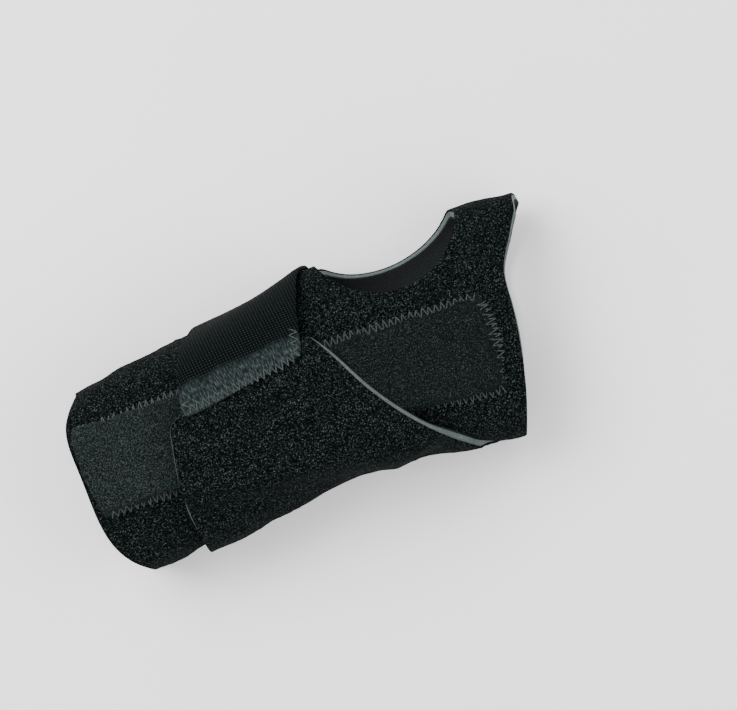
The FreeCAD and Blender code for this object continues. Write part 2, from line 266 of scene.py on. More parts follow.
def blur(table, times):
    """Averages a table with its neighbours."""
    for _ in range(times):
        padded = np.pad(table, 1, mode="edge")
        table = (padded[2:, 1:-1] + 2 * table + padded[:-2, 1:-1]) / 4
        padded = np.pad(table, 1, mode="edge")
        table = (padded[1:-1, 2:] + 2 * table + padded[1:-1, :-2]) / 4
    return table


class Shell:
    """A cloth's outer face: a table of distances from the centre line over stations and angles.

    sources lists (node, first, last) in order of preference; these angles and low and high are in degrees.
    """

    STEP_X, STEP_A = 1.5 * MM, math.radians(1.5)

    def __init__(self, low, high, *sources, soften=3):
        self.x0, self.a0 = low_corner[0] - 6 * MM, math.radians(low)
        stations = np.arange(self.x0, high_corner[0] + 6 * MM, self.STEP_X)
        angles = np.arange(self.a0, math.radians(high), self.STEP_A)
        table = np.full((len(stations), len(angles)), np.nan)
        for i, x in enumerate(stations):
            for j, angle in enumerate(angles):
                for name, first, last in sources:
                    if math.radians(first) <= angle <= math.radians(last):
                        distance = ray(name, x, angle)
                        if distance is not None:
                            table[i, j] = distance
                            break
        self.table = blur(fill(table), soften)
        self.lift = lambda x, angle: 0.0

    def distance(self, x, angle):
        u = np.clip((x - self.x0) / self.STEP_X, 0, self.table.shape[0] - 1.001)
        v = np.clip((angle - self.a0) / self.STEP_A, 0, self.table.shape[1] - 1.001)
        i, j = u.astype(int), v.astype(int)
        u, v = u - i, v - j
        t = self.table
        return ((t[i, j] * (1 - u) + t[i + 1, j] * u) * (1 - v)
                + (t[i, j + 1] * (1 - u) + t[i + 1, j + 1] * u) * v)

    def on(self, x, angle):
        """Points of the outer face as the CAD has it."""
        point = centre(x) + radial(angle) * self.distance(x, angle)[:, None]
        point[:, 0] = x
        return point

    def place(self, x, angle, depth):
        """The points this deep under the outer face, once it has been lifted."""
        x, angle, depth = np.broadcast_arrays(np.atleast_1d(x), np.atleast_1d(angle), np.atleast_1d(depth))
        along = self.on(x + 1.2 * MM, angle) - self.on(x - 1.2 * MM, angle)
        around = self.on(x, angle + 0.03) - self.on(x, angle - 0.03)
        normal = np.cross(around, along)
        normal /= np.linalg.norm(normal, axis=1)[:, None]
        return self.on(x, angle) - normal * (depth - self.lift(x, angle))[:, None]


def bisect(meets, outside, inside):
    """Refines where meets() turns true between two places."""
    for _ in range(12):
        middle = (outside + inside) / 2
        if meets(middle):
            inside = middle
        else:
            outside = middle
    return inside


def first_met(meets, start, stop, step):
    """Steps from start towards stop until meets() is true, and refines the place. None if it never is."""
    spots = np.arange(start, stop, math.copysign(step, stop - start))
    for before, spot in zip(spots, spots[1:]):
        if meets(spot):
            return bisect(meets, before, spot)
    return None


def edge_table(meets, keys, start, stop, step):
    """The edge met from start for each key, as a function that also spans keys with no edge."""
    found = [(k, first_met(lambda s: meets(k, s), start, stop, step)) for k in keys]
    found = [(k, s) for k, s in found if s is not None]
    place, value = (np.array(column) for column in zip(*found))
    return lambda k: np.interp(k, place, value)


def meets_any(*names):
    """A test that is true where the ray at an angle and a station hits any of these nodes."""
    return lambda angle, x: any(ray(name, x, angle) is not None for name in names)


# ---- Outlines in the (station, arc) plan ---------------------------------------------------------------
def resample(points, spacing, closed=True):
    """Even points along a line or a closed outline."""
    points = np.asarray(points, float)
    if closed:
        points = np.vstack([points, points[:1]])
    steps = np.linalg.norm(np.diff(points, axis=0), axis=1)
    run = np.concatenate([[0], np.cumsum(steps)])
    count = max(3, int(round(run[-1] / spacing)))
    at = np.linspace(0, run[-1], count + 1)[: count if closed else count + 1]
    return np.stack([np.interp(at, run, points[:, k]) for k in (0, 1)], -1)


def rounded(points, radius):
    """A closed outline resampled and smoothed so that its corners take about this radius."""
    points = resample(points, OUTLINE_STEP)
    for _ in range(int((radius / OUTLINE_STEP) ** 2)):
        points = (np.roll(points, 1, 0) + 2 * points + np.roll(points, -1, 0)) / 4
    return resample(points, OUTLINE_STEP)


def inside(points, loops):
    """Even-odd test of points against closed loops."""
    result = np.zeros(len(points), bool)
    for loop in loops:
        a, b = loop, np.roll(loop, -1, 0)
        for (ax, ay), (bx, by) in zip(a, b):
            if ay == by:
                continue
            crosses = ((ay > points[:, 1]) != (by > points[:, 1]))
            at = (bx - ax) * (points[:, 1] - ay) / (by - ay) + ax
            result ^= crosses & (points[:, 0] < at)
    return result


def edge_distance(points, loops):
    """Distance from each point to the nearest outline."""
    best = np.full(len(points), 1e9)
    for loop in loops:
        a, b = loop, np.roll(loop, -1, 0)
        d = b - a
        length = np.maximum((d * d).sum(1), 1e-18)
        for start, step, size in zip(a, d, length):
            t = np.clip((points - start) @ step / size, 0, 1)
            gap = points - start - t[:, None] * step
            best = np.minimum(best, (gap * gap).sum(1))
    return np.sqrt(best)


def inset(loop, distance, outer):
    """The loop moved into the cloth, which lies inside an outer loop and outside a hole's."""
    tangent = np.roll(loop, -1, 0) - np.roll(loop, 1, 0)
    normal = np.stack([-tangent[:, 1], tangent[:, 0]], -1)
    normal /= np.linalg.norm(normal, axis=1)[:, None]
    area = (loop[:, 0] * np.roll(loop[:, 1], -1) - loop[:, 1] * np.roll(loop[:, 0], -1)).sum()
    return loop + normal * distance * (1 if (area > 0) == outer else -1)


class Cut:
    """A cloth cut to its outline and filled with triangles.

    The rim's points come first, then a row just inside it, then the rest. seam holds the two ends of an edge
    that meets another cloth; that edge stays straight and sharp.
    """

    def __init__(self, loops, spacing, seam=None):
        loops = [resample(loop, spacing * 0.6) for loop in loops]
        self.flush = np.zeros(0, int)
        if seam is not None:
            outer = loops[0]
            for end in seam:
                outer[np.argmin(((outer - end) ** 2).sum(1))] = end
            self.flush = np.flatnonzero(np.abs(outer[:, 1] - seam[0, 1]) < 0.3 * MM)
            outer[self.flush, 1] = seam[0, 1]
        rows = [inset(loop, RIM_ROW, k == 0) for k, loop in enumerate(loops)]
        low, high = loops[0].min(0), loops[0].max(0)
        us = np.arange(low[0], high[0], spacing)
        vs = np.arange(low[1], high[1], spacing * 0.866)
        grid = np.array([(u + (k % 2) * spacing / 2, v) for k, v in enumerate(vs) for u in us])
        grid += np.random.default_rng(7).uniform(-0.02, 0.02, grid.shape) * spacing
        grid = grid[inside(grid, loops)]
        grid = grid[edge_distance(grid, loops) > RIM_ROW + 0.45 * spacing]
        self.rim_count = sum(map(len, loops))
        self.points = np.vstack(loops + rows + [grid])
        self.row_end = 2 * self.rim_count
        edges, self.rim_edges, base = [], [], 0
        for loop in loops:
            ring = [(base + k, base + (k + 1) % len(loop)) for k in range(len(loop))]
            self.rim_edges += ring
            edges += ring + [(a + self.rim_count, b + self.rim_count) for a, b in ring]
            base += len(loop)
        result = geometry.delaunay_2d_cdt([Vector(p) for p in self.points], edges, [], 0, 1e-9, True)
        if len(result[0]) != len(self.points):
            raise RuntimeError("the outline crosses itself")
        order = [ids[0] for ids in result[3]]
        faces = np.array([[order[v] for v in face] for face in result[2]])
        self.faces = faces[inside(self.points[faces].mean(1), loops)]
        tri = self.points[self.faces]
        cross = np.cross(tri[:, 1] - tri[:, 0], tri[:, 2] - tri[:, 0])
        self.faces[cross < 0] = self.faces[cross < 0][:, ::-1]


def mesh_object(name, points, faces, uvs=None):
    """A smooth-shaded mesh in the scene."""
    mesh = bpy.data.meshes.new(name)
    mesh.from_pydata([tuple(p) for p in points], [], [tuple(int(i) for i in f) for f in faces])
    mesh.validate()
    if uvs is not None:
        layer = mesh.uv_layers.new(name="cloth")
        index = np.zeros(len(mesh.loops), int)
        mesh.loops.foreach_get("vertex_index", index)
        layer.data.foreach_set("uv", np.asarray(uvs)[index].astype(np.float32).ravel())
    mesh.shade_smooth()
    mesh.set_sharp_from_angle(angle=math.radians(50))
    obj = bpy.data.objects.new(name, mesh)
    bpy.context.scene.collection.objects.link(obj)
    return obj


def thick(name, cut, place, top, bottom, bevel=0.0):
    """A closed sheet between two depths. bevel pushes edges that face the hand out as they go deeper."""
    points = cut.points
    count = len(points)
    outward = np.zeros_like(points)
    rim = slice(0, cut.rim_count)
    outward[rim] = points[rim] - points[cut.rim_count:cut.row_end]
    outward[rim] /= np.linalg.norm(outward[rim], axis=1)[:, None]
    spread = EDGE_SPREAD + bevel * np.clip(outward[:, :1] * 1.6, 0, 1)
    eased = np.zeros(count)
    eased[rim] = min(EDGE_EASE, (bottom - top) * 0.3)
    outward[cut.flush], eased[cut.flush] = 0, 0
    upper = place(points + outward * spread * top, top + eased)
    lower = place(points + outward * spread * bottom, bottom - eased)
    wall = [(a, b, b + count, a + count) for a, b in cut.rim_edges]
    faces = [tuple(f) for f in cut.faces] + [tuple(f[::-1] + count) for f in cut.faces]
    faces += [tuple(w) for w in wall]
    obj = mesh_object(name, np.vstack([upper, lower]), faces, np.vstack([points, points]))
    volume_outward(obj)
    return obj


def volume_outward(obj):
    """Turns every face outward."""
    work = bmesh.new()
    work.from_mesh(obj.data)
    bmesh.ops.recalc_face_normals(work, faces=work.faces)
    work.to_mesh(obj.data)
    work.free()


# ---- Cloth simulation ----------------------------------------------------------------------------------
def settle(loops, place, held, pressure=1.5, most=1.1 * MM):
    """Simulates a cloth held where held(points) is 1. Returns how far each plan point lifts."""
    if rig.quick():
        return lambda points: np.zeros(len(points))
    cut = Cut(loops, COARSE)
    rest = place(cut.points, np.zeros(len(cut.points)))
    under = place(cut.points, np.full(len(cut.points), MM))
    obj = mesh_object("settling", rest, cut.faces)
    group = obj.vertex_groups.new(name="held")
    for index, weight in enumerate(held(cut.points)):
        group.add([index], float(np.clip(weight, 0, 1)), "REPLACE")
    cloth = obj.modifiers.new("cloth", "CLOTH")
    cloth.settings.vertex_group_mass = "held"
    cloth.settings.mass = 0.4
    cloth.settings.quality = 6
    cloth.settings.tension_stiffness = 25
    cloth.settings.compression_stiffness = 25
    cloth.settings.shear_stiffness = 12
    cloth.settings.bending_stiffness = 6
    cloth.settings.shrink_min = -0.03
    cloth.settings.use_pressure = True
    cloth.settings.uniform_pressure_force = pressure
    cloth.settings.effector_weights.gravity = 0
    cloth.collision_settings.use_collision = False
    scene = bpy.context.scene
    scene.frame_start, scene.frame_end = 1, SETTLE_FRAMES
    for step in range(1, SETTLE_FRAMES + 1):
        scene.frame_set(step)
    moved = obj.evaluated_get(bpy.context.evaluated_depsgraph_get()).data
    now = np.array([v.co for v in moved.vertices])
    scene.frame_set(1)
    bpy.data.objects.remove(obj)
    lift = ((now - rest) * (rest - under)).sum(1) / MM
    lift = np.clip(lift, -0.15 * MM, most) * (1 - held(cut.points))
    tree = kdtree.KDTree(len(cut.points))
    for index, point in enumerate(cut.points):
        tree.insert((*point, 0), index)
    tree.balance()

    def lifted(points):
        result = np.zeros(len(points))
        for k, point in enumerate(points):
            near = tree.find_n((*point, 0), 5)
            weights = [1 / (gap + 0.8 * MM) ** 2 for _, _, gap in near]
            result[k] = sum(w * lift[i] for w, (_, i, _) in zip(weights, near)) / sum(weights)
        return result

    return lifted


# ---- Materials -----------------------------------------------------------------------------------------
class Finish:
    """A procedural material: a Principled surface with patterns in object or cloth coordinates."""

    def __init__(self, name, roughness, sheen=0.0, metallic=0.0, specular=0.3):
        self.material = bpy.data.materials.new(name)
        self.material.use_nodes = True
        self.tree = self.material.node_tree
        self.surface = self.tree.nodes["Principled BSDF"]
        self.surface.inputs["Roughness"].default_value = roughness
        self.surface.inputs["Metallic"].default_value = metallic
        self.surface.inputs["Sheen Weight"].default_value = sheen
        self.surface.inputs["Sheen Roughness"].default_value = 0.45
        self.surface.inputs["Specular IOR Level"].default_value = specular
        self.place = self.node("ShaderNodeTexCoord").outputs["Object"]
        self.cloth = self.node("ShaderNodeTexCoord").outputs["UV"]

    def node(self, kind, **settings):
        made = self.tree.nodes.new(kind)
        for key, value in settings.items():
            setattr(made, key, value)
        return made

    def link(self, source, target):
        self.tree.links.new(source, target)

    def noise(self, scale, detail=2.0, stretch=(1, 1, 1), source=None):
        mapping = self.node("ShaderNodeMapping")
        mapping.inputs["Scale"].default_value = stretch
        self.link(source or self.place, mapping.inputs["Vector"])
        made = self.node("ShaderNodeTexNoise")
        made.inputs["Scale"].default_value = scale
        made.inputs["Detail"].default_value = detail
        self.link(mapping.outputs["Vector"], made.inputs["Vector"])
        return made.outputs["Fac"]

    def dots(self, scale, source=None):
        made = self.node("ShaderNodeTexVoronoi")
        made.inputs["Scale"].default_value = scale
        self.link(source or self.place, made.inputs["Vector"])
        return made.outputs["Distance"]

    def math(self, operation, first, second=0.0):
        made = self.node("ShaderNodeMath", operation=operation)
        for socket, value in zip(made.inputs, (first, second)):
            if isinstance(value, (int, float)):
                socket.default_value = value
            else:
                self.link(value, socket)
        return made.outputs[0]

    def wave(self, pitch, axis, source):
        """A smooth 0 to 1 ripple of this pitch along U (0) or V (1)."""
        parts = self.node("ShaderNodeSeparateXYZ")
        self.link(source, parts.inputs[0])
        turns = self.math("MULTIPLY", parts.outputs[axis], 2 * math.pi / pitch)
        return self.math("MULTIPLY_ADD", self.math("SINE", turns), 0.5)

    def ramp(self, value, *stops):
        made = self.node("ShaderNodeValToRGB")
        elements = made.color_ramp.elements
        while len(elements) < len(stops):
            elements.new(0.5)
        for element, (at, color) in zip(elements, stops):
            element.position = at
            element.color = (*color, 1)
        self.link(value, made.inputs["Fac"])
        return made.outputs["Color"]

    def color(self, value):
        self.link(value, self.surface.inputs["Base Color"])
        return self

    def bump(self, value, distance, strength=0.6):
        made = self.node("ShaderNodeBump")
        made.inputs["Distance"].default_value = distance
        made.inputs["Strength"].default_value = strength
        self.link(value, made.inputs["Height"])
        self.link(made.outputs["Normal"], self.surface.inputs["Normal"])
        return self


def loop_cloth():
    """Black brushed loop with pale flecks where single loops catch the light."""
    finish = Finish("loop_cloth", 1.0, specular=0.03)
    coarse = finish.noise(1500, 2.0)
    fine = finish.noise(3300, 1.0)
    both = finish.math("MULTIPLY", coarse, fine)
    finish.color(finish.ramp(both, (0.18, (0.0003, 0.0006, 0.0006)), (0.26, (0.0015, 0.003, 0.0029)),
                             (0.33, (0.009, 0.0135, 0.013)), (0.42, (0.06, 0.073, 0.071))))
    return finish.bump(both, 0.0011, 0.8).material


def pocket_cloth():
    """Smoother cloth, its colour painted lighter towards the cuff as a sheen."""
    finish = Finish("pocket_cloth", 0.8, specular=0.05)
    both = finish.math("MULTIPLY", finish.noise(3600, 2.0), finish.noise(2000, 1.0))
    # Painted sheen: the colour is lightened towards the cuff, standing in for light reflected there.
    parts = finish.node("ShaderNodeSeparateXYZ")
    finish.link(finish.place, parts.inputs[0])
    painted_cuff_sheen = finish.node("ShaderNodeMapRange")
    finish.link(parts.outputs[0], painted_cuff_sheen.inputs["Value"])
    for name, value in (("From Min", 45 * MM), ("From Max", 0.0), ("To Min", 0.0), ("To Max", 0.045)):
        painted_cuff_sheen.inputs[name].default_value = value
    both = finish.math("ADD", both, painted_cuff_sheen.outputs[0])
    finish.color(finish.ramp(both, (0.15, (0.0003, 0.0008, 0.0008)), (0.28, (0.0022, 0.0044, 0.0042)),
                             (0.42, (0.027, 0.036, 0.035))))
    return finish.bump(both, 0.0004, 0.6).material


def lining_cloth():
    finish = Finish("lining_jersey", 0.85, sheen=0.02, specular=0.15)
    rib = finish.wave(0.7 * MM, 1, finish.cloth)
    knit = finish.math("MULTIPLY", rib, finish.noise(1800, 2.0))
    finish.color(finish.ramp(knit, (0.1, (0.003, 0.0036, 0.004)), (0.6, (0.013, 0.0155, 0.016))))
    return finish.bump(knit, 0.0004, 0.5).material


def foam():
    """The raw cut edge of sponge neoprene."""
    finish = Finish("neoprene_foam", 0.75)
    cells = finish.dots(2600)
    shade = finish.noise(260, 2.0)
    mix = finish.math("MULTIPLY", cells, finish.math("ADD", shade, 0.45))
    finish.color(finish.ramp(mix, (0.0, (0.018, 0.025, 0.025)), (0.5, (0.055, 0.072, 0.071)),
                             (1.0, (0.10, 0.122, 0.12))))
    return finish.bump(cells, 0.0002, 0.4).material


def webbing(sheen_from):
    """Ribs with short cross threads. Past the band's start, along the sewn end, the strap is brushed, and its colour
    is painted paler there as a sheen.
    """
    finish = Finish("webbing", 0.85, specular=0.04)
    ribs, picks = finish.wave(1.1 * MM, 0, finish.cloth), finish.wave(0.8 * MM, 1, finish.cloth)
    weave = finish.math("MULTIPLY", ribs, picks)
    rough = finish.math("MULTIPLY", weave, finish.math("ADD", finish.noise(1500, 2.0), 0.3))
    brushed = finish.noise(1000, 2.0, stretch=(2.2, 0.7, 1), source=finish.cloth)
    parts = finish.node("ShaderNodeSeparateXYZ")
    finish.link(finish.cloth, parts.inputs[0])
    waver = finish.math("MULTIPLY", finish.noise(160, 1.0), SHEEN_BAND_BLEND)
    ragged = finish.math("ADD", parts.outputs[1], waver)
    sheen_mask = finish.math("MULTIPLY", finish.math("SUBTRACT", ragged, sheen_from + SHEEN_BAND_BLEND / 2), 1 / SHEEN_BAND_BLEND)
    mix = finish.node("ShaderNodeMix", data_type="RGBA")
    mix.clamp_factor = True
    finish.link(sheen_mask, mix.inputs["Factor"])
    plain = finish.ramp(rough, (0.05, (0.0003, 0.0008, 0.0008)), (0.4, (0.0022, 0.0042, 0.0041)),
                        (0.8, (0.018, 0.025, 0.0245)))
    # Painted sheen: the brushed band's colour is made lighter, standing in for light caught by the band.
    pale = finish.ramp(brushed, (0.3, (0.003, 0.0055, 0.0054)), (0.5, (0.011, 0.0165, 0.0163)),
                       (0.7, (0.042, 0.053, 0.052)))
    finish.link(plain, mix.inputs[6])
    finish.link(pale, mix.inputs[7])
    finish.color(mix.outputs[2])
    return finish.bump(rough, 0.0006, 0.6).material


def hook_tape():
    finish = Finish("hook_tape", 0.45)
    grid = finish.math("MULTIPLY", *(finish.wave(1.3 * MM, axis, finish.cloth) for axis in (0, 1)))
    mix = finish.math("ADD", grid, finish.math("MULTIPLY", finish.noise(900), 0.3))
    finish.color(finish.ramp(mix, (0.1, (0.004, 0.0045, 0.005)), (0.9, (0.02, 0.022, 0.024))))
    return finish.bump(mix, 0.0007, 0.8).material


def thread():
    finish = Finish("thread", 0.5, specular=0.25)
    twist = finish.noise(3200, 1.0)
    finish.color(finish.ramp(twist, (0.35, (0.006, 0.0095, 0.0092)), (0.7, (0.05, 0.062, 0.061))))
    return finish.bump(twist, 0.0002, 0.5).material


def aluminium():
    finish = Finish("stay_aluminium", 0.34, metallic=1.0)
    brushed = finish.noise(400, 3.0, stretch=(0.15, 6, 6))
    finish.color(finish.ramp(brushed, (0.3, (0.26, 0.265, 0.27)), (0.7, (0.42, 0.425, 0.43))))
    return finish.bump(brushed, 0.00006, 0.35).material


def vinyl():
    finish = Finish("cap_vinyl", 0.38)
    mottle = finish.noise(350, 2.0)
    finish.color(finish.ramp(mottle, (0.3, (0.018, 0.018, 0.02)), (0.7, (0.035, 0.035, 0.037))))
    return finish.bump(mottle, 0.0002, 0.4).material


def dress(obj, slot):
    """Gives a piece one finish, under the slot of the same name."""
    obj.data.materials.clear()
    obj.data.materials.append(finishes[slot])
    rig.slot(obj, slot)
    return obj


# ---- Stitches ------------------------------------------------------------------------------------------
def tubes(name, lines, radius, sides=6):
    """Short closed tubes along 3-D lines, drawn in at their ends."""
    points, faces = [], []
    for line in lines:
        base, count = len(points), len(line)
        for k, point in enumerate(line):
            ahead = line[min(k + 1, count - 1)] - line[max(k - 1, 0)]
            ahead = ahead / np.linalg.norm(ahead)
            side = np.cross(ahead, (0.3, 0.2, 0.93))
            side /= np.linalg.norm(side)
            up = np.cross(side, ahead)
            size = radius * (0.55 if k in (0, count - 1) else 1.0)
            for turn in range(sides):
                angle = 2 * math.pi * turn / sides
                points.append(point + size * (math.cos(angle) * side + math.sin(angle) * up))
        for k in range(count - 1):
            for turn in range(sides):
                a, b = base + k * sides + turn, base + k * sides + (turn + 1) % sides
                faces.append((a, b, b + sides, a + sides))
        faces.append(tuple(base + turn for turn in reversed(range(sides))))
        faces.append(tuple(base + (count - 1) * sides + turn for turn in range(sides)))
    obj = mesh_object(name, points, faces)
    volume_outward(obj)
    return obj


def zigzag(name, paths, place, width=ZIGZAG_WIDTH):
    """Zigzag thread along open plan paths. Each stroke crosses the row and dives in at both ends."""
    rng = np.random.default_rng(11)
    lines = []
    for path in paths:
        path = resample(path, ZIGZAG_PITCH, closed=False)
        tangent = np.gradient(path, axis=0)
        tangent /= np.linalg.norm(tangent, axis=1)[:, None]
        side = np.stack([-tangent[:, 1], tangent[:, 0]], -1)
        sway = np.where(np.arange(len(path)) % 2, 0.5, -0.5) * width
        knots = path + side * (sway * rng.uniform(0.8, 1.15, len(path)))[:, None]
        knots += tangent * rng.uniform(-0.16, 0.16, (len(path), 1)) * ZIGZAG_PITCH
        for a, b in zip(knots, knots[1:]):
            t = np.linspace(0, 1, 6)[:, None]
            height = (0.75 * np.sin(np.pi * t[:, 0]) - 0.35) * THREAD
            lines.append(place(a + (b - a) * t, -height))
    return tubes(name, lines, THREAD)


def running(name, paths, place):
    """A row of straight stitches along open plan paths."""
    lines = []
    for path in paths:
        fine = resample(path, 0.15 * MM, closed=False)
        run = np.concatenate([[0], np.cumsum(np.linalg.norm(np.diff(fine, axis=0), axis=1))])
        for start in np.arange(0, run[-1] - STITCH, STITCH + STITCH_GAP):
            t = np.linspace(0, 1, 5)
            at = start + t * STITCH
            spots = np.stack([np.interp(at, run, fine[:, k]) for k in (0, 1)], -1)
            lines.append(place(spots, -(0.7 * np.sin(np.pi * t) - 0.35) * THREAD))
    return tubes(name, lines, THREAD)


# ---- The faces the cloths lie on -----------------------------------------------------------------------
wrap_face = Shell(-62, 215, ("palmar_face_cloth", -62, 215), ("dorsal_face_cloth", -62, 60), soften=4)
back_face = Shell(-176, -26, ("dorsal_face_cloth", -176, -26), soften=4)
flap_face = Shell(40, 216, ("flap_face_cloth", 40, 216), ("dorsal_face_cloth", 180, 216), soften=3)
pocket_face = Shell(20, 205, ("stay_pocket", 20, 205), ("palmar_face_cloth", 20, 60), soften=1)
tab_face = Shell(-70, 112, ("tab_sewn_end", 20, 112), ("strap_tab", -70, 112), soften=2)


def laid(face):
    """Turns a face into a placing function of plan points and depths."""
    return lambda points, depth: face.place(points[:, 0], points[:, 1] / ROUND, depth)


# ---- Outlines ------------------------------------------------------------------------------------------
low_x, high_x = low_corner[0] - 2 * MM, high_corner[0] + 2 * MM
stations = np.arange(low_corner[0] + MM, high_corner[0], 2 * MM)
on_palmar, on_dorsal = meets_any("palmar_face_cloth"), meets_any("dorsal_face_cloth")
angles = np.radians(np.arange(-164, 207, 2.0))
angles = angles[(angles < FOLD_GAP[0]) | (angles > FOLD_GAP[1])]


def panel(angle, x):
    """True where the palmar panel, or below the thumb-side fold the dorsal one, is met."""
    return (on_palmar if angle > 0 else on_dorsal)(angle, x)


cuff = edge_table(panel, angles, low_x, 60 * MM, SCAN_STEP)
hand_end = edge_table(panel, angles, high_x, 90 * MM, SCAN_STEP)


def on_stations(name, start, stop):
    """A border that runs along the splint: its angle at a station, sought from start to stop in degrees."""
    meets = meets_any(name)
    return edge_table(lambda x, a: meets(a, x), stations, *np.radians([start, stop]), math.radians(1.5))


palmar_border = on_stations("palmar_face_cloth", 236, 150)
dorsal_border = on_stations("dorsal_face_cloth", 168, 216)


def plan(x, angle):
    """Plan points (station, arc) of stations and angles."""
    x, angle = np.broadcast_arrays(np.atleast_1d(x), np.atleast_1d(angle))
    return np.stack([x, angle * ROUND], -1)


def edge_run(edge, first, last):
    """Plan points along an end of the splint, between two angles."""
    turn = np.linspace(first, last, 60)
    return plan(edge(turn), turn)


def border_run(border, first, last):
    """Plan points along a lengthwise border, between two stations."""
    x = np.linspace(first, last, 60)
    return plan(x, border(x))


def thumb_hole():
    """Marches outward from the thumb opening's mount until cloth is met; the fold gap is bridged."""
    mount = next(m for m in frame["record"]["mounts"] if m["name"] == "thumb_opening")
    spot = np.array(mount["pos_m"])
    arm = spot - centre(spot[0])[0]
    middle = np.array([spot[0], math.atan2(arm[2], arm[1]) * ROUND])
    turns, radii = [], []
    for turn in np.linspace(0, 2 * math.pi, 90, endpoint=False):
        way = np.array([math.cos(turn), math.sin(turn)])
        reach = first_met(lambda r: panel((middle + r * way)[1] / ROUND, (middle + r * way)[0]),
                          2 * MM, 60 * MM, 0.8 * MM)
        if reach is None:
            continue
        if not FOLD_GAP[0] < (middle + reach * way)[1] / ROUND < FOLD_GAP[1]:
            turns.append(turn)
            radii.append(reach)
    turn = np.linspace(0, 2 * math.pi, 240, endpoint=False)
    radius = np.interp(turn, turns, radii, period=2 * math.pi)
    return rounded(middle + radius[:, None] * np.stack([np.cos(turn), np.sin(turn)], -1), 3 * MM)


def panel_outline(border, near):
    """A panel from the back seam round to its ulnar border; near is an angle just short of that border."""
    low, high = cuff(near) + MM, hand_end(near) - MM
    outer = np.vstack([edge_run(cuff, BACK_SEAM, border(low)), border_run(border, low, high),
                       edge_run(hand_end, border(high), BACK_SEAM)])
    return rounded(outer, 1.4 * MM)


def rows_outline(test, first, last):
    """A piece's two ends at each angle from first to last, in degrees, as (angles, starts, stops)."""
    found = []
    for angle in np.radians(np.arange(first, last, 1.0)):
        start = first_met(lambda x: test(angle, x), low_x, high_x, SCAN_STEP)
        stop = first_met(lambda x: test(angle, x), high_x, low_x, SCAN_STEP)
        if start is not None and stop is not None and stop - start > 4 * MM:
            found.append((angle, start, stop))
    return tuple(np.array(column) for column in zip(*found))


def flap_outline():
    """The flap's outline, and its base along the back panel's ulnar border."""
    turn, start, stop = rows_outline(meets_any("flap_face_cloth"), 40, 171)
    slack = np.maximum(0, turn - tab_turn.max() + math.radians(4)) * 90 * MM
    start = np.maximum(start, np.interp(turn, tab_turn, tab_start) + MM - slack)
    join = 8
    slope_start = (start[-1] - start[-join]) / (turn[-1] - turn[-join])
    slope_stop = (stop[-1] - stop[-join]) / (turn[-1] - turn[-join])
    bottom = dorsal_border((start[-1] + stop[-1]) / 2)
    low = start[-1] + slope_start * (bottom - turn[-1])
    high = stop[-1] + slope_stop * (bottom - turn[-1])
    base = border_run(lambda x: dorsal_border(x) - 0.1 * MM / ROUND, low, high)
    outline = np.vstack([plan(start, turn), base, plan(stop, turn)[::-1]])
    return rounded(outline, 1.2 * MM), base


def band_outline(turn, start, stop, radius):
    """The closed outline round the rows between two ends."""
    return rounded(np.vstack([plan(start, turn), plan(stop, turn)[::-1]]), radius)


def pocket_outline():
    test = meets_any("stay_pocket")
    rows = []
    for x in stations:
        top = first_met(lambda a: test(a, x), math.radians(25), math.radians(170), math.radians(1))
        base = first_met(lambda a: test(a, x), math.radians(205), math.radians(40), math.radians(1))
        if top is not None and base is not None and base > top:
            rows.append((x, top, base))
    x, top, base = (np.array(column) for column in zip(*rows))
    return rounded(np.vstack([plan(x, top), plan(x, base)[::-1]]), 0.8 * MM)


def corners(loop, face, along):
    """Indices of an outline's four extreme points, as (low top, high top, high base, low base)."""
    spots = face.on(loop[:, 0], loop[:, 1] / ROUND)
    run = spots @ along
    rise = spots @ np.cross((0, 0, 1), along)
    return [int(np.argmax(s * run + t * rise)) for s, t in ((-1, 1), (1, 1), (1, -1), (-1, -1))]


def stretch(loop, first, last, margin, skip=0):
    """The outline between two of its points the short way round, moved into the cloth."""
    row = inset(loop, margin, True)
    forward = [(first + k) % len(loop) for k in range((last - first) % len(loop) + 1)]
    backward = [(first - k) % len(loop) for k in range((first - last) % len(loop) + 1)]
    ids = min(forward, backward, key=len)
    return row[ids[skip: len(ids) - skip]]


hole = thumb_hole()
wrap_loops = [panel_outline(palmar_border, math.radians(190)), hole]
back_loops = [panel_outline(lambda x: dorsal_border(x) - 2 * math.pi, math.radians(-155))]
seam_ends = plan(np.array([cuff(BACK_SEAM), hand_end(BACK_SEAM)]), BACK_SEAM)
pocket_loop = pocket_outline()
tab_turn, tab_start, tab_stop = rows_outline(meets_any("tab_sewn_end", "strap_tab"), -68, 110)
off_fold = (tab_turn < TAB_FOLD_GAP[0]) | (tab_turn > TAB_FOLD_GAP[1])
tab_turn, tab_start, tab_stop = tab_turn[off_fold], tab_start[off_fold], tab_stop[off_fold]
flap_loop, flap_base = flap_outline()
tab_loop = band_outline(tab_turn, tab_start, tab_stop, 2.6 * MM)
hook_loop = band_outline(*rows_outline(meets_any("tab_hook_patch"), -68, 60), 1.5 * MM)


finishes = {
    "loop_cloth": loop_cloth(),
    "pocket_cloth": pocket_cloth(),
    "lining_jersey": lining_cloth(),
    "neoprene_foam": foam(),
    "webbing": webbing(tab_turn.max() * ROUND - SHEEN_BAND),
    "hook_tape": hook_tape(),
    "thread": thread(),
    "stay_aluminium": aluminium(),
    "cap_vinyl": vinyl(),
}


# ---- Cloth settling ------------------------------------------------------------------------------------
def held_by(loops, *covers, grip=7 * MM, loose=0.08):
    """1 on the edges and under the layers that press the cloth down, fading to a light hold in the open."""
    def held(points):
        hold = np.clip(1 - (edge_distance(points, loops) - 2 * MM) / grip, loose, 1)
        for cover in covers:
            near = np.clip(1 - edge_distance(points, [cover]) / grip, 0, 1)
            near[inside(points, [cover])] = 1
            hold = np.maximum(hold, near)
        return hold

    return held


def at_plan(lifted):
    """Turns a lift over plan points into one over stations and angles."""
    return lambda x, angle: lifted(plan(x, angle))


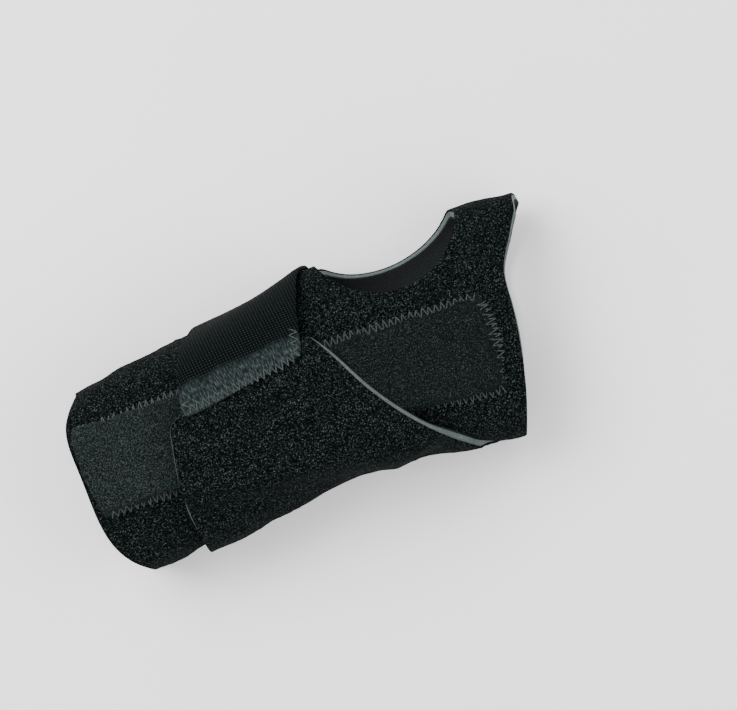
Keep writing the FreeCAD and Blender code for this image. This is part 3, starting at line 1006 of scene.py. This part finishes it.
wrap_hold = held_by(wrap_loops, pocket_loop, flap_loop, tab_loop)
back_hold = held_by(back_loops)
flap_hold = held_by([flap_loop], tab_loop, grip=9 * MM)
wrap_face.lift = at_plan(settle(wrap_loops, laid(wrap_face), wrap_hold))
back_face.lift = at_plan(settle(back_loops, laid(back_face), back_hold, pressure=0.6, most=0.4 * MM))
flap_face.lift = at_plan(settle([flap_loop], laid(flap_face), flap_hold))


# ---- Panels --------------------------------------------------------------------------------------------
# Each ply's name, finish, CAD node, and depths under the outer face.
PLIES = (("loop_cloth", "loop_cloth", "face_cloth", 0.0, FACE - PLY_GAP),
         ("neoprene", "neoprene_foam", "foam", FACE, FACE + FOAM - PLY_GAP),
         ("lining", "lining_jersey", "lining", FACE + FOAM, PLY))


def panel_plies(prefix, cad_prefix, cut, face, bevel):
    """The three plies of one panel, each in place of its CAD node."""
    made = []
    for kind, slot, node, top, bottom in PLIES:
        ply = dress(thick(f"{prefix}_{kind}", cut, laid(face), top, bottom, bevel), slot)
        made.append(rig.replaces(ply, f"{cad_prefix}_{node}"))
    return made


def fold_span(joint, direction, length):
    """The two ends of a fold's bending zone, centred on its axis."""
    spot = Vector(on_axis(joint, (low_x + high_x) / 2)[0])
    half = Vector(direction).normalized() * length / 2
    return tuple(spot - half), tuple(spot + half)


palmar_fold = fold_span("palmar_open", (0, -math.sin(PALMAR_LEAN), math.cos(PALMAR_LEAN)), PALMAR_BEND)
flap_fold = fold_span("flap_unwrap", (0, 0, 1), FLAP_BEND)
for ply in panel_plies("wrap", "palmar", Cut(wrap_loops, FINE, seam=seam_ends), wrap_face, bevel=0.05):
    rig.blend(ply, "dorsal_panel", "palmar_panel", *palmar_fold)
for ply in panel_plies("back", "dorsal", Cut(back_loops, FINE, seam=seam_ends), back_face, bevel=0.0):
    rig.ride(ply, "dorsal_panel")
for ply in panel_plies("flap", "flap", Cut([flap_loop], FINE), flap_face, bevel=0.3):
    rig.blend(ply, "dorsal_panel", "closing_flap", *flap_fold)

seam = dress(zigzag("flap_join_stitches", [flap_base[2:-2]], laid(flap_face)), "thread")
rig.replaces(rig.ride(seam, "dorsal_panel"), "flap_seam_thread")


# ---- Stay pocket ---------------------------------------------------------------------------------------
slide_axis = Vector(joints["stay_slide"]["axis"])
pocket_along = np.array(Vector((0, 0, 1)).cross(slide_axis).normalized())
pocket_along *= math.copysign(1, pocket_along[0])
low_top, high_top, high_base, low_base = corners(pocket_loop, pocket_face, pocket_along)
sewn_sides = ((low_top, high_top), (high_top, high_base), (high_base, low_base))
pocket_edges = [stretch(pocket_loop, first, last, 0.0) for first, last in sewn_sides]
pocket_rows = [stretch(pocket_loop, first, last, MM, 2) for first, last in sewn_sides]


def sewn_down(x, angle):
    """Draws the pocket onto the palm cloth along its three sewn sides; its mouth at the cuff stands open."""
    gap = edge_distance(plan(x, angle), [np.vstack([edge, edge[::-1]]) for edge in pocket_edges])
    down = np.clip(1 - (gap - SEWN_WIDTH) / SLOPE_WIDTH, 0, 1)
    down = down * np.clip((x - pocket_loop[:, 0].min()) / MOUTH_LENGTH, 0, 1)
    height = pocket_face.distance(x, angle) - wrap_face.distance(x, angle) - SEWN_RISE
    return -np.maximum(height, 0) * down * down * (3 - 2 * down)


pocket_face.lift = sewn_down
pocket = thick("stay_pocket_cloth", Cut([pocket_loop], FINE), laid(pocket_face), 0.0, POCKET)
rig.replaces(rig.ride(dress(pocket, "pocket_cloth"), "palmar_panel"), "stay_pocket")
rows = dress(zigzag("pocket_stitches", pocket_rows, laid(pocket_face)), "thread")
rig.replaces(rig.ride(rows, "palmar_panel"), "pocket_seam_thread")

for node, slot in (("palmar_stay", "stay_aluminium"), ("stay_end_caps", "cap_vinyl")):
    dress(frame["nodes"][node], slot)


# ---- Closing tab ---------------------------------------------------------------------------------------
def ride_tab(obj):
    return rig.blend(obj, "closing_flap", "hook_tab", *fold_span("tab_peel", (0, 1, -0.9), TAB_BEND))


tab = dress(thick("tab_webbing", Cut([tab_loop], FINE), laid(tab_face), 0.0, WEBBING), "webbing")
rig.replaces(ride_tab(tab), "tab_sewn_end", "strap_tab")


def seam_rows():
    """A zigzag along the tab's sewn end and down a little of each side."""
    top = tab_turn.max() * ROUND - 1.9 * MM
    side = np.linspace(top, top - 9 * MM, 20) / ROUND
    low = plan(np.interp(side, tab_turn, tab_start) + 2.0 * MM, side)
    high = plan(np.interp(side, tab_turn, tab_stop) - 2.0 * MM, side)
    return [np.vstack([low[:6][::-1], high])]


tab_stitches = dress(zigzag("tab_seam_stitches", seam_rows(), laid(tab_face), width=2.8 * MM), "thread")
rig.replaces(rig.ride(tab_stitches, "closing_flap"), "tab_seam_thread")


def under_tab(points, depth):
    """Places plan points on the strap's inner face."""
    return tab_face.place(points[:, 0], points[:, 1] / ROUND, depth + WEBBING + 0.05 * MM)


hook_patch = dress(thick("hook_patch", Cut([hook_loop], FINE), under_tab, 0.0, HOOK_TAPE), "hook_tape")
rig.replaces(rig.ride(hook_patch, "hook_tab"), "tab_hook_patch")


def hooks():
    """Small bent monofilament hooks standing on the patch's inner face."""
    low, high = hook_loop.min(0), hook_loop.max(0)
    us, vs = (np.arange(low[k] + 2 * MM, high[k] - 2 * MM, 1.7 * MM) for k in (0, 1))
    spots = np.array([(u, v) for u in us for v in vs])
    spots = spots[inside(spots, [hook_loop])]
    spots = spots[edge_distance(spots, [hook_loop]) > 2.2 * MM]
    lines = []
    for spot in spots:
        bend = spot + np.array([(0, 0), (0, 0.05), (0, 0.3), (0, 0.5)]) * MM
        lines.append(under_tab(bend, np.array([0.45, 0.95, 1.05, 0.85]) * MM))
    return tubes("hook_filaments", lines, HOOK_WIRE, sides=4)


filaments = dress(hooks(), "hook_tape")
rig.replaces(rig.ride(filaments, "hook_tab"), "tab_hook_patch")

hook_row = inset(hook_loop, 1.1 * MM, True)
hook_stitches = dress(running("hook_stitches", [np.vstack([hook_row, hook_row[:1]])],
                              lambda points, depth: under_tab(points, HOOK_TAPE - depth)), "thread")
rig.replaces(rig.ride(hook_stitches, "hook_tab"), "hook_seam_thread")


# ---- Studio --------------------------------------------------------------------------------------------
def studio():
    scene = bpy.context.scene
    floor = Finish("studio_paper", 0.9)
    floor.color(floor.ramp(floor.noise(12, 2.0), (0.3, (0.88, 0.88, 0.88)), (0.7, (0.91, 0.91, 0.91))))
    sheet = [(x, y, -0.4 * MM) for x, y in ((-3, -3), (3, -3), (3, 3), (-3, 3))]
    paper = mesh_object("studio_floor", sheet, [(0, 1, 2, 3)])
    paper.data.materials.append(floor.material)
    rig.stage(paper)

    world = bpy.data.worlds.new("studio")
    world.use_nodes = True
    world.node_tree.nodes["Background"].inputs["Color"].default_value = (1, 1, 1, 1)
    world.node_tree.nodes["Background"].inputs["Strength"].default_value = 1.15
    scene.world = world
    middle = Vector(VIEW_MIDDLE)
    lamps = (("key", (-0.35, 0.55, 0.9), 0.7, 20), ("fill", (0.7, -0.5, 0.8), 0.9, 9))
    for name, offset, size, power in lamps:
        lamp = bpy.data.lights.new(name, "AREA")
        lamp.size = size
        lamp.energy = power
        holder = bpy.data.objects.new(name, lamp)
        holder.location = middle + Vector(offset)
        holder.rotation_euler = (-Vector(offset)).to_track_quat("-Z", "Y").to_euler()
        scene.collection.objects.link(holder)

    camera = bpy.data.cameras.new("camera")
    camera.lens, camera.sensor_width = LENS, SENSOR
    holder = bpy.data.objects.new("camera", camera)
    holder.location = middle + Vector((0, 0, VIEW_WIDTH * LENS / SENSOR))
    holder.rotation_euler = (0, 0, -ARM_TILT)
    scene.collection.objects.link(holder)
    scene.camera = holder


studio()

with open("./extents.json", "w") as out:
    json.dump({"cad": [list(c) for c in cad_bounds], "visual": [list(c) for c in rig.bounds()]}, out)
